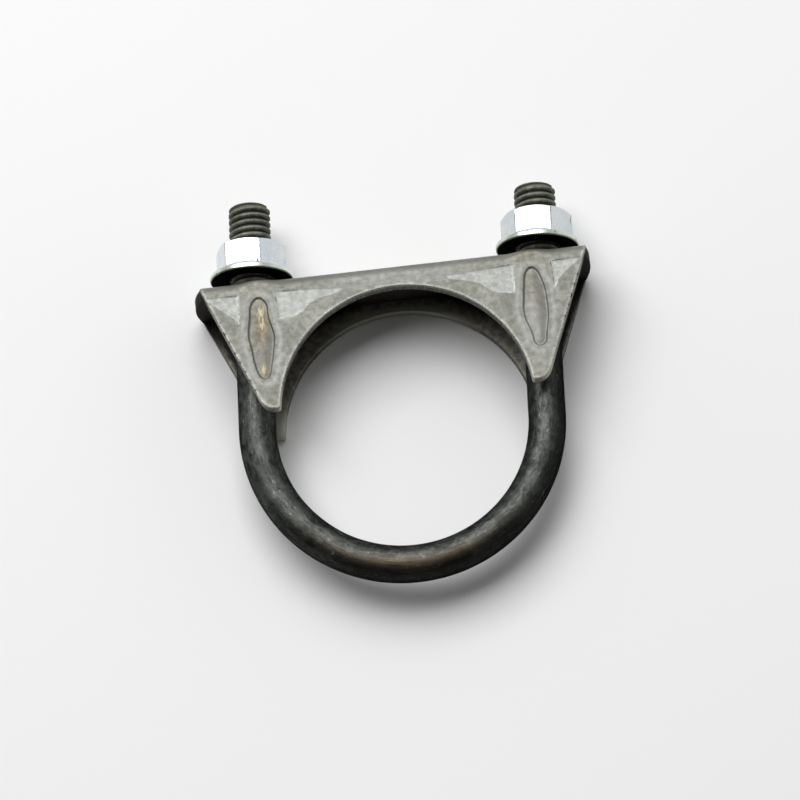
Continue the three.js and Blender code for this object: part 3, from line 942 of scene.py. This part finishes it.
def dark_steel():
    """Oily, dark mill scale: mottled, scuffed along the bar, browned at the bottom of the bend, with
    painted shade on its outer, lower side and in the thread roots, and greyer and drier on the threads."""
    m = Shader("dark_mill_scale")
    m.surface.inputs["Specular Tint"].default_value = rgb(0.1, 0.1, 0.1)
    m.surface.inputs["Specular IOR Level"].default_value = 0.3
    lay = m.attribute("lay", "Vector")
    depth = m.attribute("depth")
    threaded = m.attribute("threaded")
    cloud = m.noise(lay, 0.17, 4, 0.6)
    mottle = m.noise(lay, 0.75, 5, 0.7, stretch=(0.6, 1, 1), shift=(2, 8, 3))
    grain = m.noise(lay, 2.6, 5, 0.75)
    drawn = m.noise(lay, 1.0, 4, 0.65, stretch=(0.09, 2.4, 2.4))
    scuff = m.noise(lay, 1.1, 4, 0.8, stretch=(0.5, 1.2, 1.2), shift=(4, 7, 2))
    colour = m.blend(m.map(cloud, 0.35, 0.68), rgb(0.033, 0.036, 0.033), rgb(0.07, 0.075, 0.068))
    colour = m.blend(m.map(mottle, 0.42, 0.66, 0.0, 0.75), colour, rgb(0.115, 0.122, 0.112))
    colour = m.blend(m.map(mottle, 0.46, 0.32, 0.0, 0.6), colour, rgb(0.017, 0.018, 0.017))
    colour = m.blend(m.times(m.map(drawn, 0.52, 0.72), 0.45), colour, rgb(0.15, 0.156, 0.15))
    brown = m.times(m.attribute("brown"), m.map(drawn, 0.3, 0.6, 0.5, 1.0))
    colour = m.blend(brown, colour, rgb(0.15, 0.115, 0.078))
    # Painted shade on the bar's outer, lower side, which also dims the scuffs there.
    outer_side_shade = m.attribute("outer_side_shade")
    colour = m.blend(m.times(outer_side_shade, 0.8), colour, rgb(0.009, 0.01, 0.009))
    plain = m.maths("SUBTRACT", m.maths("SUBTRACT", 1.0, threaded), m.times(outer_side_shade, 0.7))
    bright = m.times(m.map(scuff, 0.6, 0.68), m.map(cloud, 0.42, 0.56), plain)
    colour = m.blend(m.times(bright, 0.75), colour, rgb(0.34, 0.35, 0.34))
    dusty = m.blend(m.map(mottle, 0.35, 0.65), rgb(0.136, 0.145, 0.108), rgb(0.26, 0.26, 0.228))
    colour = m.blend(m.times(threaded, 0.95), colour, dusty)
    # Painted shade: the thread's roots are darkened in its colour.
    root = m.times(threaded, m.map(depth, 0.28, 0.72))
    colour = m.blend(m.times(root, 0.85), colour, rgb(0.02, 0.021, 0.018))
    tip_colour = m.blend(m.map(grain, 0.35, 0.6), rgb(0.13, 0.155, 0.09), rgb(0.24, 0.25, 0.2))
    colour = m.blend(m.times(m.attribute("tip"), 1.6), colour, tip_colour)
    roughness = m.map(cloud, 0.3, 0.7, 0.36, 0.48)
    roughness = m.plus(roughness, m.map(grain, 0.3, 0.7, -0.05, 0.09))
    roughness = m.plus(roughness, m.times(threaded, 0.15))
    height = m.plus(m.times(grain, 0.7), m.times(drawn, 0.35))
    height = m.plus(height, m.times(mottle, 0.5))
    metallic = m.map(threaded, 0.0, 1.0, 0.92, 0.4)
    return m.finish(colour, roughness, height, 0.1, metallic)


def mill_steel():
    """Bare pressed sheet: satin, mottled, burnished where the die bore on it, rusty in the dents, with
    painted highlights and shadows at its edges and dents, and painted shade and light inside."""
    m = Shader("bare_pressed_steel")
    own = m.attribute("own", "Vector")
    edge = m.attribute("edge")
    patch, patch_edge_highlight = m.attribute("patch"), m.attribute("patch_edge_highlight")
    crease_shadow, dent, dent_highlight = m.attribute("crease_shadow"), m.attribute("dent"), m.attribute("dent_highlight")
    cloud = m.noise(own, 0.11, 4, 0.6)
    mottle = m.noise(own, 0.75, 5, 0.65)
    grain = m.noise(own, 3.2, 4, 0.7)
    rolled = m.noise(own, 1.0, 4, 0.6, stretch=(0.22, 3.0, 3.0))
    specks = m.noise(own, 1.5, 2, 0.5, shift=(5, 2, 8))
    smudge = m.noise(own, 0.8, 3, 0.6, stretch=(0.55, 1.3, 1), shift=(1, 6, 3))

    colour = m.blend(m.map(cloud, 0.35, 0.65), rgb(0.185, 0.187, 0.16), rgb(0.246, 0.246, 0.22))
    colour = m.blend(m.map(mottle, 0.35, 0.7, 0.0, 0.45), colour, rgb(0.15, 0.152, 0.13))
    colour = m.blend(m.map(rolled, 0.45, 0.7, 0.0, 0.22), colour, rgb(0.3, 0.3, 0.28))
    colour = m.blend(m.times(m.map(specks, 0.7, 0.77), 0.7), colour, rgb(0.1, 0.098, 0.085))
    band = m.times(m.attribute("band"), m.map(rolled, 0.35, 0.6, 0.35, 0.85))
    colour = m.blend(band, colour, rgb(0.26, 0.263, 0.245))
    smudged = m.map(smudge, 0.56, 0.7, 0.0, 0.55)
    burnished = m.blend(smudged, rgb(0.243, 0.252, 0.238), rgb(0.15, 0.155, 0.147))
    colour = m.blend(m.times(patch, m.map(mottle, 0.3, 0.6, 0.98, 0.7)), colour, burnished)
    # Painted highlight along the pressed patches' outline next to the dents.
    colour = m.blend(m.times(patch_edge_highlight, m.map(mottle, 0.42, 0.58)), colour, rgb(0.52, 0.535, 0.52))
    # Painted highlight on the dents' shoulders, in the right dent's middle and along its left side.
    colour = m.blend(m.times(dent_highlight, 0.75), colour, rgb(0.31, 0.315, 0.3))
    colour = m.blend(m.times(dent, 0.3), colour, rgb(0.19, 0.188, 0.163))
    rust = m.times(m.attribute("rust"), m.map(mottle, 0.3, 0.6, 0.55, 1.0))
    colour = m.blend(m.times(rust, 0.9), colour, rgb(0.14, 0.105, 0.06))
    broken = m.noise(own, 1.0, 3, 0.6, stretch=(1.6, 0.5, 1))
    # Pale golden streaks, partly a painted highlight on the dent's swelling floor.
    streak_and_highlight = m.times(m.attribute("streak_and_highlight"), m.map(broken, 0.35, 0.6))
    colour = m.blend(m.times(streak_and_highlight, 0.9), colour, rgb(0.72, 0.64, 0.43))
    # Painted shadow along the dents' outlines.
    colour = m.blend(m.times(crease_shadow, 0.6), colour, rgb(0.08, 0.083, 0.075))

    sheared = m.noise(own, 1.6, 3, 0.6, stretch=(1, 1, 0.16), shift=(2, 2, 2))
    # Painted light: "low" lightens the sheared edge low on the walls and beside the back arch.
    low = m.attribute("low")
    edge_colour = m.blend(m.map(sheared, 0.35, 0.65), rgb(0.08, 0.082, 0.066), rgb(0.18, 0.182, 0.155))
    edge_colour = m.blend(low, edge_colour, rgb(0.42, 0.42, 0.35))
    colour = m.blend(edge, colour, edge_colour)
    # Painted highlight along the rims, where the burr catches the light.
    burr_highlight = m.times(m.attribute("burr_highlight"), m.map(grain, 0.4, 0.55, 0.15, 1.0))
    colour = m.blend(m.times(burr_highlight, 0.8), colour, rgb(0.5, 0.51, 0.46))
    # The crown's ends darkened to near black, partly dark sheared metal and partly painted shade.
    soot_and_shade = m.times(m.attribute("soot_and_shade"), m.map(mottle, 0.35, 0.6, 1.0, 0.75))
    colour = m.blend(soot_and_shade, colour, rgb(0.02, 0.021, 0.018))
    m.feed(m.surface.inputs["Specular Tint"], m.blend(soot_and_shade, rgb(1, 1, 1), rgb(0.1, 0.1, 0.1)))
    # The inner face's own tone, with painted light low on the walls and beside the back arch.
    inner_tone_and_light = m.blend(m.map(mottle, 0.35, 0.65), rgb(0.18, 0.165, 0.135), rgb(0.36, 0.345, 0.3))
    inner_tone_and_light = m.blend(low, inner_tone_and_light, rgb(0.42, 0.42, 0.37))
    colour = m.blend(m.attribute("inner"), colour, inner_tone_and_light)
    # Painted shade inside the channel: near black where the walls and crown hide the inner face from the
    # light.
    inner_shade_colour = m.blend(m.map(cloud, 0.4, 0.65), rgb(0.006, 0.004, 0.003), rgb(0.028, 0.018, 0.012))
    painted_inner_shade = m.attribute("inside")
    colour = m.blend(painted_inner_shade, colour, inner_shade_colour)

    roughness = m.map(mottle, 0.3, 0.7, 0.5, 0.62)
    roughness = m.plus(roughness, m.times(patch, -0.12))
    roughness = m.plus(roughness, m.times(painted_inner_shade, 0.08))
    height = m.plus(m.times(grain, 0.5), m.times(rolled, 0.35))
    height = m.plus(height, m.times(mottle, 0.4))
    height = m.plus(height, m.times(edge, sheared))
    metallic = m.map(painted_inner_shade, 0.0, 1.0, 0.78, 0.35)
    return m.finish(colour, roughness, height, 0.05, metallic)


def zinc_plate(side):
    """Bright zinc plate: bluish white, faintly yellow on the flange, grey in its knocks, with painted shade
    on the flange's underside.
    """
    m = Shader(f"bright_zinc_{side}", metallic=0.93)
    own = m.attribute("own", "Vector")
    shift = (0, 0, 0) if side == "left" else (7, 3, 5)
    cloud = m.noise(own, 0.28, 3, 0.55, shift=shift)
    grain = m.noise(own, 2.6, 4, 0.65, shift=shift)
    drawn = m.noise(own, 1.0, 3, 0.6, stretch=(2.8, 0.3, 2.8), shift=shift)
    specks = m.noise(own, 1.3, 2, 0.5, shift=shift)
    colour = m.blend(m.map(cloud, 0.35, 0.65), rgb(0.68, 0.74, 0.79), rgb(0.8, 0.83, 0.82))
    colour = m.blend(m.map(drawn, 0.5, 0.72, 0.0, 0.35), colour, rgb(0.6, 0.65, 0.68))
    dulled = 0.0 if side == "left" else 0.3
    colour = m.blend(dulled, colour, rgb(0.42, 0.47, 0.49))
    tarnish = m.times(m.attribute("lip"), m.map(grain, 0.35, 0.65, 0.25, 0.6))
    colour = m.blend(tarnish, colour, rgb(0.72, 0.76, 0.6))
    colour = m.blend(m.times(m.map(specks, 0.69, 0.75), 0.55), colour, rgb(0.25, 0.27, 0.27))
    ridge = m.times(m.attribute("ridge"), m.map(grain, 0.42, 0.6))
    colour = m.blend(m.times(ridge, 0.75), colour, rgb(0.12, 0.13, 0.12))
    colour = m.blend(m.times(m.attribute("ding"), 0.85), colour, rgb(0.1, 0.11, 0.1))
    colour = m.blend(m.times(m.attribute("rim"), 0.85), colour, rgb(0.12, 0.15, 0.07))
    # Painted shade on the flange's underside, with its reflection dimmed too.
    under = m.attribute("under")
    colour = m.blend(under, colour, rgb(0.004, 0.005, 0.004))
    m.feed(m.surface.inputs["Specular Tint"], m.blend(under, rgb(1, 1, 1), rgb(0.1, 0.1, 0.1)))
    roughness = m.plus(m.map(grain, 0.3, 0.7, 0.24, 0.36), m.times(under, 0.25))
    height = m.plus(m.times(grain, 0.5), m.times(drawn, 0.4))
    return m.finish(colour, roughness, height, 0.03)


# ---- Stage ----

DIM, BRIGHT = 0.04, 0.46  # the surroundings' light in front of the clamp and behind it
RIGHT_WALL = 0.45  # added light from the right
BACKDROP = 0.95  # what the camera sees past the floor
BOX_POSITION = (-0.32, 0.64, 1.2)
BOX_SIZE = (1.4, 1.0)
BOX_POWER = 19.5
FLOOR_REACH = 3.0
CAMERA_POSITION = (30.46, -417.4, 1168.8)
CAMERA_AIM = (-0.27, 5.53, 0.0)
CAMERA_ROLL = math.radians(-7.18)
LENS = 247.4


def floor():
    """A pale, matt, plain floor."""
    mesh = bpy.data.meshes.new("floor")
    corners = [(FLOOR_REACH * x, FLOOR_REACH * y, 0) for x, y in ((-1, -1), (1, -1), (1, 1), (-1, 1))]
    mesh.from_pydata(corners, [], [(0, 1, 2, 3)])
    obj = linked("floor", mesh)
    m = Shader("pale_floor", metallic=0.0, roughness=0.9)
    own = m.add("ShaderNodeTexCoord").outputs["Object"]
    tone = m.noise(own, 3.0, 2, 0.5)
    m.feed(m.surface.inputs["Base Color"], m.blend(tone, rgb(0.9, 0.9, 0.9), rgb(0.92, 0.92, 0.92)))
    mesh.materials.append(m.material)


def soft_box():
    """One large area light behind the clamp and above it."""
    data = bpy.data.lights.new("main_box", "AREA")
    data.shape = "RECTANGLE"
    data.size, data.size_y = BOX_SIZE
    data.energy = BOX_POWER
    obj = linked("main_box", data)
    obj.location = BOX_POSITION
    obj.rotation_euler = (CLAMP_ORIGIN - Vector(BOX_POSITION)).to_track_quat("-Z", "Y").to_euler()


def surroundings():
    """A world that is dim in front, brighter behind and to the right, and pale to the camera."""
    world = bpy.data.worlds.new("studio")
    world.use_nodes = True
    tree = world.node_tree
    background = tree.nodes["Background"]
    background.inputs["Color"].default_value = (1, 1, 1, 1)
    direction = tree.nodes.new("ShaderNodeTexCoord").outputs["Generated"]
    split = tree.nodes.new("ShaderNodeSeparateXYZ")
    tree.links.new(direction, split.inputs[0])

    def graded(axis, start, end, low, high):
        node = tree.nodes.new("ShaderNodeMapRange")
        node.interpolation_type = "SMOOTHSTEP"
        values = (("From Min", start), ("From Max", end), ("To Min", low), ("To Max", high))
        for key, value in values:
            node.inputs[key].default_value = value
        tree.links.new(split.outputs[axis], node.inputs["Value"])
        return node.outputs[0]

    around = tree.nodes.new("ShaderNodeMath")
    tree.links.new(graded("Y", -0.5, 0.5, DIM, BRIGHT), around.inputs[0])
    tree.links.new(graded("X", 0.6, 0.95, 0.0, RIGHT_WALL), around.inputs[1])
    seen = tree.nodes.new("ShaderNodeLightPath").outputs["Is Camera Ray"]
    strength = tree.nodes.new("ShaderNodeMix")
    strength.inputs["B"].default_value = BACKDROP
    tree.links.new(seen, strength.inputs["Factor"])
    tree.links.new(around.outputs[0], strength.inputs["A"])
    tree.links.new(strength.outputs[0], background.inputs["Strength"])
    bpy.context.scene.world = world


def camera():
    """The photograph's view: from in front and well above, a long lens, rolled a little."""
    position, aim = Vector(CAMERA_POSITION) * MM, Vector(CAMERA_AIM) * MM
    data = bpy.data.cameras.new("camera")
    data.sensor_width = 36.0
    data.lens = LENS
    data.clip_start = 0.05
    obj = linked("camera", data)
    look = (aim - position).to_track_quat("-Z", "Y").to_matrix().to_4x4()
    place = Matrix.Translation(CLAMP_ORIGIN + position)
    obj.matrix_world = place @ look @ Matrix.Rotation(CAMERA_ROLL, 4, "Z")
    bpy.context.scene.camera = obj


u_bolt()
saddle()
nut("left")
nut("right")
floor()
surroundings()
soft_box()
camera()
bpy.context.scene.view_settings.view_transform = "Standard"
